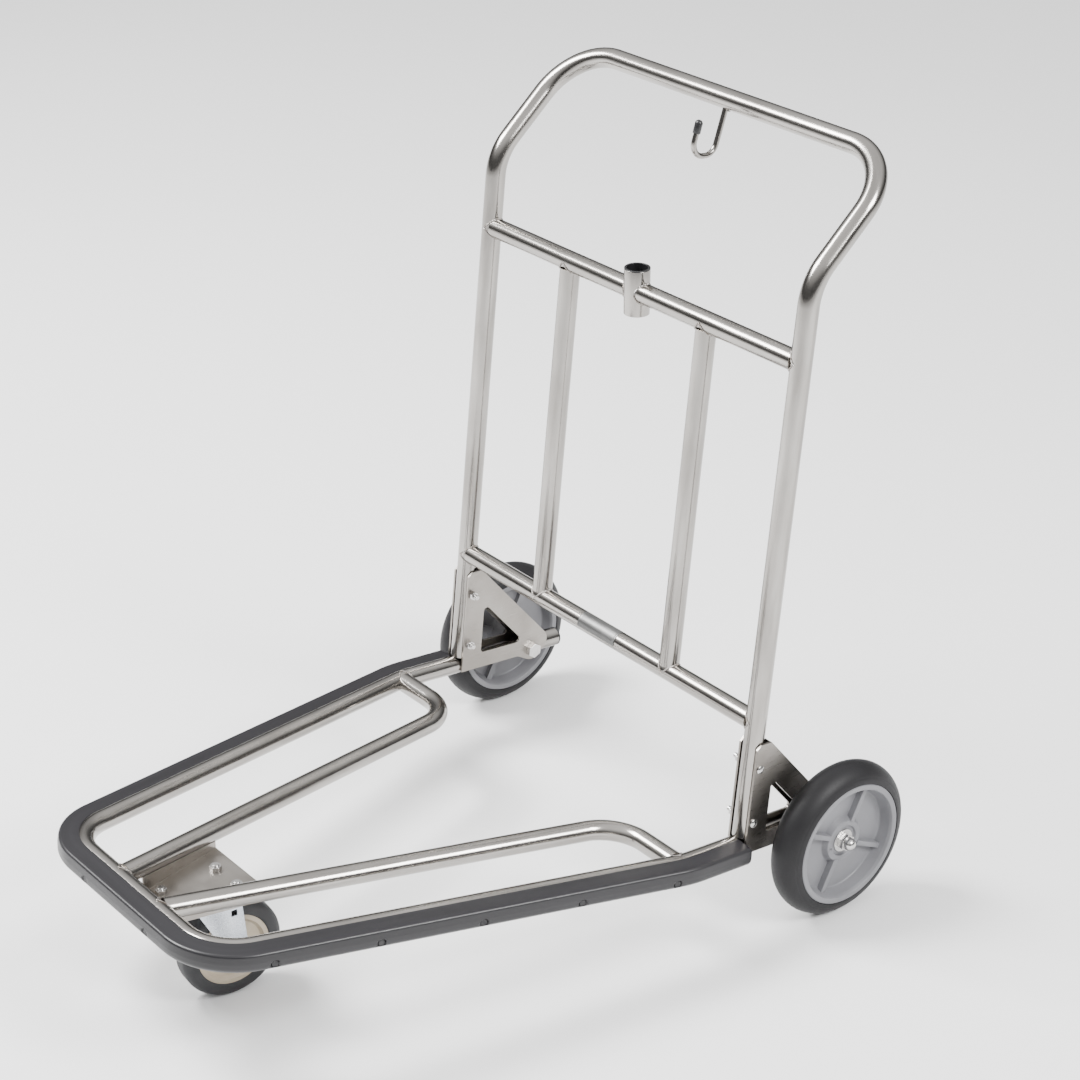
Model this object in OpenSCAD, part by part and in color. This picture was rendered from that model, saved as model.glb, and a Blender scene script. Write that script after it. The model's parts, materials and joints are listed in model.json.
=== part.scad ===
// Three-wheel push cart with a stainless tube frame: an upright back with a
// bent push handle, a low tapered platform with two inner rails, a wrap-round
// rubber bumper, two fixed rear wheels and one swivel caster under the nose.
// The origin is on the ground, under the middle of the cart's outline.
// +X is the cart's left-to-right width, +Y points from the nose to the handle.
// The whole welded frame leans back by a few degrees, because the caster
// carries the nose a little higher than the rear axle.

/* [Frame tube] */
// Outside diameter of the frame tube
tube_d = 25.4; // [22:0.1:32]
// Wall of the frame tube
tube_wall = 1.6; // [1.2:0.1:2.5]
// Gap left at a coped joint before it is welded
weld_gap = 0.05; // [0.02:0.01:0.2]

/* [Back and handle] */
// Distance between the two uprights, centre to centre
frame_w = 560; // [440:5:680]
// Distance of the uprights ahead of the rear axle
upright_run = 113; // [95:1:150]
// Height of the lower crossbar above the platform tube
lower_bar_h = 165; // [150:5:260]
// Height of the upper crossbar above the platform tube
upper_bar_h = 616; // [480:5:740]
// Distance between the two slats, centre to centre
slat_w = 247; // [160:5:340]
// Height at which the uprights bend back
bend_h = 710; // [660:5:860]
// Height of the top bar along the uprights
handle_h = 836; // [790:5:1000]
// Distance that the top bar stands behind the uprights
handle_back = 119; // [60:1:160]
// Centre-line radius of the lower handle bends
bend_r = 70; // [60:5:140]
// Centre-line radius of the two top corners
corner_r = 75; // [60:5:110]

/* [Platform] */
// Length of the platform tube from the axle to the nose
nose_run = 786; // [620:5:900]
// Distance from the axle to where the sides begin to taper
taper_run = 210; // [180:5:260]
// Width of the nose between the corners of its centre line
nose_w = 302; // [240:5:360]
// Centre-line radius of the nose corners
nose_r = 62; // [45:1:80]
// Centre-line radius of the small bend in each side
side_r = 130; // [80:5:200]
// Length of the tube end behind the axle
stub = 52; // [36:1:70]
// Distance between the inner rails at the nose, centre to centre
rail_nose_w = 82; // [70:1:110]
// Distance from the axle to the cross leg of each inner rail
rail_run = 213; // [205:1:300]
// Centre-line radius of the inner rail's bend
rail_r = 58; // [30:1:66]

/* [Bumper] */
// How far the bumper's outer face stands out from the tube's centre line
bumper_out = 31; // [22:0.5:34]
// Top of the bumper above the tube's centre line
bumper_top = 10; // [6:0.5:12]
// Bottom of the bumper below the tube's centre line
bumper_low = 14; // [12:0.5:20]
// Rounding of the bumper's lower outer corner
bumper_round = 7; // [3:0.5:8]
// Gap between each end of the bumper and its bracket
bumper_gap = 1.4; // [1:0.1:10]
// Screws along each tapered side
side_screws = 5; // [3:1:6]
// Distance between the two screws in the nose
nose_screw_gap = 130; // [40:1:170]
// Height of the screws below the tube's centre line
screw_drop = 6; // [0:0.5:6]

/* [Accessory socket] */
// Outside diameter of the socket tube
socket_d = 31.75; // [28:0.25:38]
// Length of the socket tube
socket_h = 57; // [45:1:80]
// Wall of the socket tube
socket_wall = 1.65; // [1.2:0.05:2.5]
// Bore of the plastic liner
liner_bore = 25.8; // [20:0.1:26]

/* [Hook] */
// Diameter of the hook rod
hook_d = 7; // [5:0.5:9]
// Centre-line radius of the hook
hook_r = 16.5; // [12:0.5:18]
// Diameter of the soft tip
tip_d = 9.6; // [8:0.2:12]

/* [Name plate] */
// Length of the plain plate on the lower crossbar
plate_w = 70; // [40:1:100]
// Thickness of the plain plate
plate_t = 0.8; // [0.5:0.1:1.5]

/* [Brackets] */
// Thickness of the bracket sheet
sheet = 3; // [2:0.5:4]
// Height of the bracket above the platform tube
bracket_h = 141; // [120:1:150]
// How far the bracket plate stands ahead of the upright's centre
bracket_lap = 8; // [4:1:12]
// Radius of the bracket's rear end round the axle
bracket_end_r = 16; // [14:0.5:20]
// Diameter of the bracket screws
screw_d = 6.35; // [5:0.05:8]
// Height of the lower bracket screw
screw_low = 35; // [28:1:50]
// Height of the upper bracket screw
screw_high = 108; // [90:1:120]

/* [Rear wheels] */
// Diameter of the rear wheels
wheel_d = 203.2; // [170:0.2:230]
// Width of the rear wheels
wheel_w = 47; // [38:1:56]
// Diameter of the wheel's plastic rim under the tyre
rim_d = 160; // [120:1:170]
// Distance from the upright's centre to the wheel's middle
wheel_set = 51; // [48:0.5:62]
// Diameter of the axle bolt
axle_d = 12.7; // [10:0.1:16]
// Diameter of the wheel's boss
boss_d = 54; // [46:1:60]
// Number of ribs on each side of the wheel
ribs = 4; // [3:1:8]
// Angle of the first rib
rib_turn = 62; // [0:1:90]

/* [Caster] */
// Diameter of the caster wheel
caster_d = 127; // [102:1:140]
// Width of the caster wheel
caster_w = 32; // [26:1:36]
// Height of the caster from the ground to the top of its plate
caster_h = 148; // [146:0.5:170]
// Distance from the axle to the swivel, along the platform
caster_run = 706; // [560:1:800]
// Trail of the caster wheel behind the swivel
caster_trail = 32; // [24:1:42]
// Turn of the caster at rest
caster_turn = -6; // [-180:1:180]
// Hole spacing of the caster plate across the cart
hole_x = 44.5; // [40:0.5:60]
// Hole spacing of the caster plate along the cart
hole_y = 74; // [66:0.5:90]
// Diameter of the caster bolts
caster_bolt_d = 7.9; // [6:0.1:10]
// Clear height from the mounting plate up to the rails at the swivel
mount_drop = 9; // [4:0.5:20]

/* [Fits] */
// Radial running clearance of a shaft in its bearing
run_fit = 0.05; // [0.02:0.01:0.1]
// Radial clearance of a bolt in a plain hole
bolt_fit = 0.15; // [0.1:0.05:0.5]
// Clearance between faces that touch but don't fit into each other
face_gap = 0.05; // [0.02:0.01:0.1]
// Clearance between pieces that turn past each other
turn_gap = 0.4; // [0.3:0.1:1]

/* [Hidden] */
$fn = 64;

tube_r = tube_d / 2;
wheel_r = wheel_d / 2;
rim_r = rim_d / 2;
axle_r = axle_d / 2;
half_w = frame_w / 2;
wheel_x = half_w + wheel_set;
eps = 1;

// The caster's height above the axle sets how far the frame leans back.
mount_t = sheet;
tilt = asin((caster_h + mount_t + mount_drop + tube_r - wheel_r) / caster_run);

// Where the axle stands, so that the origin is under the outline's middle.
top_back = (handle_back - upright_run) * cos(tilt) + handle_h * sin(tilt) + tube_r;
nose_front = (nose_run + bumper_out) * cos(tilt) + (bumper_low - bumper_round) * sin(tilt);
axle_y = (nose_front - max(top_back, wheel_r)) / 2;
caster_y = axle_y - caster_run * cos(tilt);
axle_at = [0, axle_y, wheel_r];

// Centre lines of the bent tubes, in the frame's own leaning axes.
handle_path = [[-half_w, -upright_run, tube_r + weld_gap], [-half_w, -upright_run, bend_h],
               [-half_w, handle_back - upright_run, handle_h],
               [half_w, handle_back - upright_run, handle_h],
               [half_w, -upright_run, bend_h], [half_w, -upright_run, tube_r + weld_gap]];
handle_radii = [bend_r, corner_r, corner_r, bend_r];
ring_path = [[-half_w, stub, 0], [-half_w, -taper_run, 0], [-nose_w / 2, -nose_run, 0],
             [nose_w / 2, -nose_run, 0], [half_w, -taper_run, 0], [half_w, stub, 0]];
ring_radii = [side_r, nose_r, nose_r, side_r];
bumper_end = upright_run + bracket_lap + bumper_gap;
bumper_path = [[-half_w, -bumper_end, 0], [-half_w, -taper_run, 0], [-nose_w / 2, -nose_run, 0],
               [nose_w / 2, -nose_run, 0], [half_w, -taper_run, 0], [half_w, -bumper_end, 0]];

// Slope of the tapered side, which the inner rails follow.
taper = (half_w - nose_w / 2) / (nose_run - taper_run);
taper_angle = atan(taper);
rail_corner_x = rail_nose_w / 2 + (nose_run - rail_run) * taper;
rail_path = [[rail_nose_w / 2, -nose_run, 0], [rail_corner_x, -rail_run, 0],
             [half_w - tube_r / 2, -rail_run, 0]];

function unit(v) = v / norm(v);
function bend(a, b, c) = acos(min(1, max(-1, unit(b - a) * unit(c - b))));
function setback(a, b, c, r) = r * tan(bend(a, b, c) / 2);
// Distance from point i of a path to the end of the bend round it.
function cut_back(path, radii, i) =
    (i == 0 || i == len(path) - 1) ? 0
    : setback(path[i - 1], path[i], path[i + 1], radii[i - 1]);

// Places children so that their Z axis runs from a towards b.
module aim(a, b) {
    z = unit(b - a);
    x = unit(cross(abs(z[2]) < 0.9 ? [0, 0, 1] : [0, 1, 0], z));
    y = cross(z, x);
    multmatrix([[x[0], y[0], z[0], a[0]], [x[1], y[1], z[1], a[1]],
                [x[2], y[2], z[2], a[2]], [0, 0, 0, 1]])
        children();
}

// Places children for a rotate_extrude that rounds the corner b of a-b-c.
module at_bend(a, b, c, r) {
    along = unit(b - a);
    out = unit((b - a) * (along * (c - b)) / norm(b - a) - (c - b));
    start = b - along * setback(a, b, c, r);
    o = start - out * r;
    z = cross(out, along);
    multmatrix([[out[0], along[0], z[0], o[0]], [out[1], along[1], z[1], o[1]],
                [out[2], along[2], z[2], o[2]], [0, 0, 0, 1]])
        children();
}

// A bend draws the tube a little thinner than its straight runs. It reaches a
// short way into them, so that the two always join into one solid.
bend_draw = 0.016;
seam_len = 0.5;
function lap(r) = seam_len / r * 180 / PI;

// A solid rod along a path with rounded corners, longer by extra at each end.
module rod(path, radii, r, extra = 0) {
    last = len(path) - 2;
    for (i = [0:last]) {
        dir = unit(path[i + 1] - path[i]);
        a = path[i] + dir * (cut_back(path, radii, i) - (i == 0 ? extra : 0));
        b = path[i + 1] - dir * (cut_back(path, radii, i + 1) - (i == last ? extra : 0));
        if (norm(b - a) > 0.01) {
            aim(a, b) cylinder(r = r, h = norm(b - a));
        }
    }
    for (i = [1:last]) {
        at_bend(path[i - 1], path[i], path[i + 1], radii[i - 1])
            rotate_extrude(start = -lap(radii[i - 1]),
                           angle = bend(path[i - 1], path[i], path[i + 1]) + 2 * lap(radii[i - 1]))
                translate([radii[i - 1], 0])
                    circle(r = r * (1 - bend_draw));
    }
}

module pipe(path, radii, d, wall) {
    difference() {
        rod(path, radii, d / 2);
        rod(path, radii, d / 2 - wall, eps);
    }
}

// The frame's leaning axes: Y along the platform tube, Z along the uprights.
module in_frame() {
    translate(axle_at)
        rotate([-tilt, 0, 0])
            children();
}

// A cylinder along X from x0 to x1.
module bar_x(x0, x1, r) {
    translate([x0, 0, 0])
        rotate([0, 90, 0])
            cylinder(r = r, h = x1 - x0);
}

// The socket stands upright although the frame leans.
module socket_axis() {
    translate([0, -upright_run, upper_bar_h])
        rotate([tilt, 0, 0])
            children();
}

/* Back and handle */

module handle_frame() {
    color("silver")
        in_frame()
            difference() {
                pipe(handle_path, handle_radii, tube_d, tube_wall);
                for (side = [-1, 1], h = [screw_low, screw_high]) {
                    translate([side * half_w, -upright_run, h])
                        bar_x(-tube_d, tube_d, screw_d / 2 + bolt_fit);
                }
            }
}

module crossbar(h) {
    translate([0, -upright_run, h])
        difference() {
            bar_x(-half_w, half_w, tube_r);
            bar_x(-half_w - eps, half_w + eps, tube_r - tube_wall);
            for (side = [-1, 1]) {
                translate([side * half_w, 0, -tube_d])
                    cylinder(r = tube_r + weld_gap, h = 2 * tube_d);
            }
        }
}

module upper_crossbar(side) {
    color("silver")
        in_frame()
            difference() {
                crossbar(upper_bar_h);
                socket_axis()
                    translate([0, 0, -socket_h])
                        cylinder(r = socket_d / 2 + weld_gap, h = 2 * socket_h);
                translate([side > 0 ? -frame_w : 0, -upright_run - tube_d, upper_bar_h - tube_d])
                    cube([frame_w, 2 * tube_d, 2 * tube_d]);
            }
}

module lower_crossbar() {
    color("silver")
        in_frame()
            crossbar(lower_bar_h);
}

module slat(side) {
    color("silver")
        in_frame()
            difference() {
                translate([side * slat_w / 2, -upright_run, lower_bar_h])
                    cylinder(r = tube_r, h = upper_bar_h - lower_bar_h);
                translate([side * slat_w / 2, -upright_run, lower_bar_h - eps])
                    cylinder(r = tube_r - tube_wall, h = upper_bar_h - lower_bar_h + 2 * eps);
                for (h = [lower_bar_h, upper_bar_h]) {
                    translate([0, -upright_run, h])
                        bar_x(-half_w, half_w, tube_r + weld_gap);
                }
            }
}

module accessory_socket() {
    color("silver")
        in_frame()
            socket_axis()
                translate([0, 0, -socket_h / 2])
                    difference() {
                        cylinder(d = socket_d, h = socket_h);
                        translate([0, 0, -eps])
                            cylinder(r = socket_d / 2 - socket_wall, h = socket_h + 2 * eps);
                    }
}

liner_lip = 1.2;
liner_len = 40;
module socket_liner() {
    color("black")
        in_frame()
            socket_axis()
                translate([0, 0, socket_h / 2])
                    difference() {
                        union() {
                            translate([0, 0, face_gap])
                                cylinder(d = socket_d, h = liner_lip);
                            translate([0, 0, -liner_len])
                                cylinder(r = socket_d / 2 - socket_wall - face_gap,
                                         h = liner_len + face_gap + eps / 2);
                        }
                        translate([0, 0, -liner_len - eps])
                            cylinder(d = liner_bore, h = liner_len + 4 * eps);
                    }
}

// Hook rod under the top bar: a straight stem, a round bottom and a short
// free arm that opens towards the nose.
bar_at = [0, handle_back - upright_run, handle_h];
hook_gap = 2 * hook_r + 4;
hook_path = [bar_at + [0, -7, -13], bar_at + [0, -18, -65], bar_at + [0, -18 - hook_gap, -65],
             bar_at + [0, -9.5 - hook_gap, -24.5]];
tip_len = 12;
module bag_hook() {
    color("silver")
        in_frame()
            difference() {
                rod(hook_path, [hook_r, hook_r], hook_d / 2);
                translate(bar_at)
                    bar_x(-tube_d, tube_d, tube_r + weld_gap);
            }
}

// Soft cap: a sleeve on the rod's end, closed by a dome.
module hook_tip() {
    end = hook_path[3];
    tip_r = tip_d / 2;
    bore = hook_d / 2 + face_gap;
    color("black")
        in_frame()
            aim(end, end + unit(end - hook_path[2]))
                rotate_extrude()
                    polygon(concat([[bore, -tip_len], [tip_r, -tip_len]],
                                   arc([0, 0], tip_r, 0, 90, 8),
                                   [[0, face_gap], [bore, face_gap]]));
}

// Plain curved plate wrapped over the front of the lower crossbar.
// It starts a little under the bar's front and ends behind its top.
plate_x = -1;
plate_start = -12;
plate_wrap = 110;
module name_plate() {
    color("gray")
        in_frame()
            translate([plate_x - plate_w / 2, -upright_run, lower_bar_h])
                rotate([0, 90, 0])
                    rotate([0, 0, 180 + plate_start])
                        rotate_extrude(angle = plate_wrap)
                            translate([tube_r + face_gap, 0])
                                square([plate_t, plate_w]);
}

/* Platform */

function along_side(t) =
    [half_w - (half_w - nose_w / 2) * t, -taper_run - (nose_run - taper_run) * t];

// Every bumper screw as [x, y, direction of its head]. The first stands just
// ahead of the side's bend, and the last just before the nose corner.
first_screw = 0.035;
screw_reach = 0.855;
screw_places = concat(
    [for (side = [-1, 1], i = [0:side_screws - 1])
        let (p = along_side(first_screw + i * screw_reach / (side_screws - 1)))
            [side * p[0], p[1], side > 0 ? -taper_angle : 180 + taper_angle]],
    [for (side = [-1, 1]) [side * nose_screw_gap / 2, -nose_run, -90]]);

// Puts children at each bumper screw, with X pointing out of the bumper.
module at_bumper_screws() {
    for (s = screw_places) {
        translate([s[0], s[1], -screw_drop])
            rotate([0, 0, s[2]])
                children();
    }
}

bumper_screw_d = 4;
bumper_head_d = 8;
bumper_head_h = 2.4;
bumper_sink = 4;
shank_in = tube_r - 4 * tube_wall;
module base_ring() {
    color("silver")
        in_frame()
            difference() {
                pipe(ring_path, ring_radii, tube_d, tube_wall);
                bar_x(-frame_w, frame_w, axle_r + bolt_fit);
                at_bumper_screws()
                    bar_x(shank_in - eps, tube_d, bumper_screw_d / 2 + bolt_fit);
            }
}

module inner_rail(side) {
    color("silver")
        in_frame()
            mirror([side > 0 ? 0 : 1, 0, 0])
                difference() {
                    pipe(rail_path, [rail_r], tube_d, tube_wall);
                    rod(ring_path, ring_radii, tube_r + weld_gap);
                }
}

plug_head = 3;
plug_len = 14;
module tube_end_plugs() {
    color("dimgray")
        in_frame()
            for (side = [-1, 1]) {
                translate([side * half_w, stub, 0])
                    rotate([-90, 0, 0])
                        union() {
                            translate([0, 0, face_gap])
                                cylinder(d = tube_d, h = plug_head);
                            translate([0, 0, -plug_len])
                                cylinder(r = tube_r - tube_wall - face_gap,
                                         h = plug_len + plug_head);
                        }
            }
}

// Bumper section: X is the distance out from the tube's centre line.
function arc(o, r, a0, a1, n) =
    [for (i = [0:n]) o + r * [cos(a0 + (a1 - a0) * i / n), sin(a0 + (a1 - a0) * i / n)]];
top_round = 3;
low_lip = [4, -bumper_low];
// The upper lip lies on the tube, and ends at this angle round it.
lip_angle = 62;
lip_t = 0.4;
lip = (tube_r + face_gap + lip_t) * [cos(lip_angle), sin(lip_angle)];
module bumper_section(inset = 0) {
    low_mid = [bumper_out - bumper_round, bumper_round - bumper_low];
    top_mid = [bumper_out - top_round, bumper_top - top_round];
    difference() {
        polygon(concat(
            [low_lip + inset * [1, 1]],
            arc(low_mid, bumper_round - inset, -90, 0, 6),
            arc(top_mid, top_round - inset, 0, 84, 4),
            [lip + inset * [1, -1], [lip[0] + inset, 0]]));
        circle(r = tube_r + face_gap + inset);
    }
}

module bumper() {
    color("#3a3a3d")
        in_frame()
            difference() {
                bumper_sweep();
                at_bumper_screws() {
                    bar_x(shank_in, bumper_out + eps, bumper_screw_d / 2 + bolt_fit);
                    bar_x(bumper_out - bumper_sink, bumper_out + eps,
                          bumper_head_d / 2 + bolt_fit);
                }
            }
}

module bumper_sweep() {
    for (i = [0:4]) {
        dir = unit(bumper_path[i + 1] - bumper_path[i]);
        a = bumper_path[i] + dir * cut_back(bumper_path, ring_radii, i);
        b = bumper_path[i + 1] - dir * cut_back(bumper_path, ring_radii, i + 1);
        out = cross(dir, [0, 0, 1]);
        multmatrix([[-out[0], 0, dir[0], a[0]], [-out[1], 0, dir[1], a[1]],
                    [0, 1, 0, 0], [0, 0, 0, 1]])
            linear_extrude(norm(b - a))
                bumper_face();
    }
    for (i = [1:4]) {
        turn = bend(bumper_path[i - 1], bumper_path[i], bumper_path[i + 1]);
        r = ring_radii[i - 1];
        at_bend(bumper_path[i - 1], bumper_path[i], bumper_path[i + 1], r)
            rotate_extrude(start = -lap(r), angle = turn + 2 * lap(r))
                translate([r, 0])
                    bumper_section(tube_r * bend_draw);
    }
}

// The straight runs look along the path, so their section is mirrored.
module bumper_face() {
    mirror([1, 0])
        bumper_section();
}

module bumper_screws() {
    seat = bumper_out - bumper_sink;
    color("gray")
        in_frame()
            at_bumper_screws()
                union() {
                    bar_x(seat + face_gap, seat + bumper_head_h, bumper_head_d / 2);
                    bar_x(shank_in, seat + bumper_head_h / 2, bumper_screw_d / 2);
                }
}

/* Brackets */

plate_in = tube_r + face_gap;
plate_out = plate_in + sheet;
front_y = -upright_run - bracket_lap;
slope_y = -upright_run + tube_r + 2;
// The 45 degree edge is the line where y and z add up to slope_sum.
slope_sum = slope_y + bracket_h;
end_mid = (slope_sum - bracket_end_r * sqrt(2)) / 2 * [1, 1];
bracket_low = -6;
function bracket_outline() = concat(
    [[front_y, bracket_low], [front_y, bracket_h - 6], [front_y + 6, bracket_h],
     [slope_y, bracket_h]],
    arc(end_mid, bracket_end_r, 45, -45, 6),
    arc([0, 0], bracket_end_r, -45, -110, 5),
    [[-bracket_end_r - 8, bracket_low]]);

// What is cut away between the two plates, which leaves the sloping web.
module between_plates() {
    inner_sum = slope_sum - sheet * sqrt(2);
    over_tube = tube_r + 2;
    polygon([[front_y - eps, -tube_d], [front_y - eps, bracket_h + eps],
             [slope_y, bracket_h + eps], [slope_y, inner_sum - slope_y],
             [inner_sum - over_tube, over_tube], [inner_sum + tube_d, over_tube],
             [inner_sum + tube_d, -tube_d]]);
}

// Three-cornered opening with rounded corners. It stands back from the upright,
// up from the platform tube, and in from the sloping edge.
window_r = 5;
window_back = 8;
window_up = 16.5;
window_in = 50;
module window() {
    a = [slope_y + window_back + window_r, window_up + window_r];
    leg = slope_sum - a[0] - a[1] - window_in;
    for (p = [a, a + [leg, 0], a + [0, leg]]) {
        translate(p)
            circle(r = window_r);
    }
    polygon([a - [0, window_r], a + [leg, -window_r],
             a + [leg, 0] + window_r * [cos(45), sin(45)],
             a + [0, leg] + window_r * [cos(45), sin(45)],
             a + [-window_r, leg], a - [window_r, 0], a]);
}

// Extrudes an outline in the bracket's own plane to both sides of the tube.
module across(half) {
    translate([-half, 0, 0])
        rotate([90, 0, 90])
            linear_extrude(2 * half)
                children();
}

module bracket(side) {
    color("silver")
        in_frame()
            translate([side * half_w, 0, 0])
                difference() {
                    across(plate_out)
                        polygon(bracket_outline());
                    across(plate_in)
                        between_plates();
                    across(tube_d) {
                        window();
                        circle(r = axle_r + bolt_fit);
                        for (h = [screw_low, screw_high]) {
                            translate([-upright_run, h])
                                circle(r = screw_d / 2 + bolt_fit);
                        }
                    }
                }
}

screw_head_d = 11;
screw_head_h = 3.6;
screw_head_r = 8;
screw_over = 12;
module bracket_screws() {
    color("gainsboro")
        in_frame()
            for (side = [-1, 1], h = [screw_low, screw_high]) {
                translate([side * half_w, -upright_run, h])
                    mirror([side > 0 ? 0 : 1, 0, 0]) {
                        bar_x(-plate_out - screw_over, plate_out + face_gap + eps, screw_d / 2);
                        translate([plate_out + face_gap, 0, 0])
                            rotate([0, 90, 0])
                                screw_head();
                    }
            }
}

module screw_head() {
    intersection() {
        cylinder(d = screw_head_d, h = screw_head_h);
        translate([0, 0, screw_head_h - screw_head_r])
            sphere(r = screw_head_r);
    }
}

screw_nut_d = 12.2;
screw_nut_h = 6;
module bracket_nuts() {
    color("gainsboro")
        in_frame()
            for (side = [-1, 1], h = [screw_low, screw_high]) {
                translate([side * (half_w - plate_out - face_gap), -upright_run, h])
                    rotate([0, side > 0 ? -90 : 90, 0])
                        difference() {
                            cylinder(d = screw_nut_d, h = screw_nut_h, $fn = 6);
                            translate([0, 0, -eps])
                                cylinder(r = screw_d / 2 + face_gap, h = screw_nut_h + 2 * eps);
                        }
            }
}

/* Rear axles and wheels */

bolt_head_d = 21.9;
bolt_head_h = 8;
spacer_run = 5.5;
spacer_r = 11;
hub_in = wheel_set - plate_out - spacer_run;
hub_out = 9;
spacer_len = spacer_run - turn_gap;
washer_t = 2;
washer_r = 15;
nut_hex_h = 8;
nut_h = 10;
dome_r = 8.2;

module axle_bolt(side) {
    end = wheel_set + hub_out + turn_gap + washer_t + nut_h - 1;
    color("gainsboro")
        in_frame()
            translate([side * half_w, 0, 0])
                mirror([side > 0 ? 0 : 1, 0, 0]) {
                    bar_x(-plate_out - face_gap - 2, end, axle_r);
                    translate([-plate_out - face_gap - bolt_head_h, 0, 0])
                        rotate([0, 90, 0])
                            cylinder(d = bolt_head_d, h = bolt_head_h, $fn = 6);
                }
}

module axle_spacers() {
    color("silver")
        in_frame()
            for (side = [-1, 1]) {
                mirror([side > 0 ? 0 : 1, 0, 0])
                    translate([half_w + plate_out + face_gap, 0, 0])
                        difference() {
                            bar_x(0, spacer_len - face_gap, spacer_r);
                            bar_x(-eps, spacer_len + eps, axle_r + bolt_fit);
                        }
            }
}

module axle_washers() {
    color("gainsboro")
        in_frame()
            for (side = [-1, 1]) {
                mirror([side > 0 ? 0 : 1, 0, 0])
                    translate([wheel_x + hub_out + turn_gap, 0, 0])
                        difference() {
                            bar_x(0, washer_t - face_gap, washer_r);
                            bar_x(-eps, washer_t + eps, axle_r + bolt_fit);
                        }
            }
}

// Closed dome nut: a hexagon with a rounded cap.
module axle_nuts() {
    color("gainsboro")
        in_frame()
            for (side = [-1, 1]) {
                mirror([side > 0 ? 0 : 1, 0, 0])
                    translate([wheel_x + hub_out + turn_gap + washer_t, 0, 0])
                        rotate([0, 90, 0])
                            difference() {
                                union() {
                                    cylinder(d = bolt_head_d, h = nut_hex_h, $fn = 6);
                                    translate([0, 0, nut_hex_h - eps])
                                        cylinder(r = dome_r, h = nut_h - nut_hex_h + eps);
                                    translate([0, 0, nut_h])
                                        intersection() {
                                            sphere(r = dome_r);
                                            cylinder(r = 2 * dome_r, h = 2 * dome_r);
                                        }
                                }
                                translate([0, 0, -eps])
                                    cylinder(r = axle_r + face_gap, h = nut_h + eps);
                            }
            }
}

// Turns a profile of [radius, position along the axle] about the X axis.
module about_axle(side) {
    in_frame()
        translate([side * wheel_x, 0, 0])
            mirror([side > 0 ? 0 : 1, 0, 0])
                rotate([0, 90, 0])
                    children();
}

// Round-section tyre: the largest circle that closes on the rim's edges.
tyre_depth = wheel_r - rim_r;
tyre_arc = (pow(wheel_w / 2, 2) + pow(tyre_depth, 2)) / (2 * tyre_depth);
module tyre(side) {
    color("#2b2b2e")
        about_axle(side)
            rotate_extrude()
                intersection() {
                    translate([wheel_r - tyre_arc, 0])
                        circle(r = tyre_arc);
                    translate([rim_r + face_gap, -wheel_w])
                        square([wheel_r, 2 * wheel_w]);
                }
}

web_t = 9;
rim_wall = 7;
rib_t = 7;
rib_in = 8;
bearing_r = 10;
boss_rim = 7;
boss_sink = 2.5;
grease_d = 4;
grease_turn = 190;
module hub(side) {
    rim_half = wheel_w / 2;
    color("#a9a9ae")
        about_axle(side)
            difference() {
                union() {
                    rotate_extrude()
                        union() {
                            polygon([[rim_r, -rim_half + 1], [rim_r, rim_half - 1],
                                     [rim_r - 1, rim_half], [rim_r - rim_wall + 2, rim_half],
                                     [rim_r - rim_wall, rim_half - 4], [rim_r - rim_wall - 4, web_t / 2],
                                     [rim_r - rim_wall - 4, -web_t / 2],
                                     [rim_r - rim_wall, -rim_half + 4],
                                     [rim_r - rim_wall + 2, -rim_half], [rim_r - 1, -rim_half]]);
                            translate([bearing_r + face_gap, -web_t / 2])
                                square([rim_r - rim_wall - bearing_r, web_t]);
                            polygon([[bearing_r + face_gap, -hub_in], [boss_d / 2 - 2, -hub_in],
                                     [boss_d / 2, -hub_in + 2], [boss_d / 2 + 6, 0],
                                     [boss_d / 2, hub_out - 1], [boss_d / 2 - 1, hub_out],
                                     [boss_d / 2 - boss_rim, hub_out],
                                     [boss_d / 2 - boss_rim - 1, hub_out - boss_sink],
                                     [bearing_r + face_gap, hub_out - boss_sink]]);
                        }
                    for (k = [0:ribs - 1]) {
                        rotate([0, 0, 90 + rib_turn + k * 360 / ribs])
                            translate([boss_d / 2 - 2, -rib_t / 2, -rim_half + rib_in])
                                cube([rim_r - rim_wall / 2 - boss_d / 2, rib_t,
                                      wheel_w - 2 * rib_in]);
                    }
                }
                rotate([0, 0, 90 + grease_turn])
                    translate([boss_d / 2 - boss_rim / 2 - 1, 0, 0])
                        cylinder(d = grease_d, h = wheel_w);
            }
}

module bearing(side) {
    color("dimgray")
        about_axle(side)
            difference() {
                translate([0, 0, -hub_in])
                    cylinder(r = bearing_r, h = hub_in + hub_out);
                translate([0, 0, -hub_in - eps])
                    cylinder(r = axle_r + run_fit, h = hub_in + hub_out + 2 * eps);
            }
}

/* Caster */

// Mounting plate: level sheet with a flange up to each inner rail.
plate_front = 52;
plate_back = 62;
flange_in = 9;
mount_top = caster_h + mount_t;
function rail_x(y) = rail_nose_w / 2 + (nose_run - (axle_y - y) / cos(tilt)) * taper;
module mount_outline(inset) {
    y0 = caster_y - plate_front;
    y1 = caster_y + plate_back;
    polygon([[-rail_x(y0) + inset, y0], [rail_x(y0) - inset, y0],
             [rail_x(y1) - inset, y1], [-rail_x(y1) + inset, y1]]);
}

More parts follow.
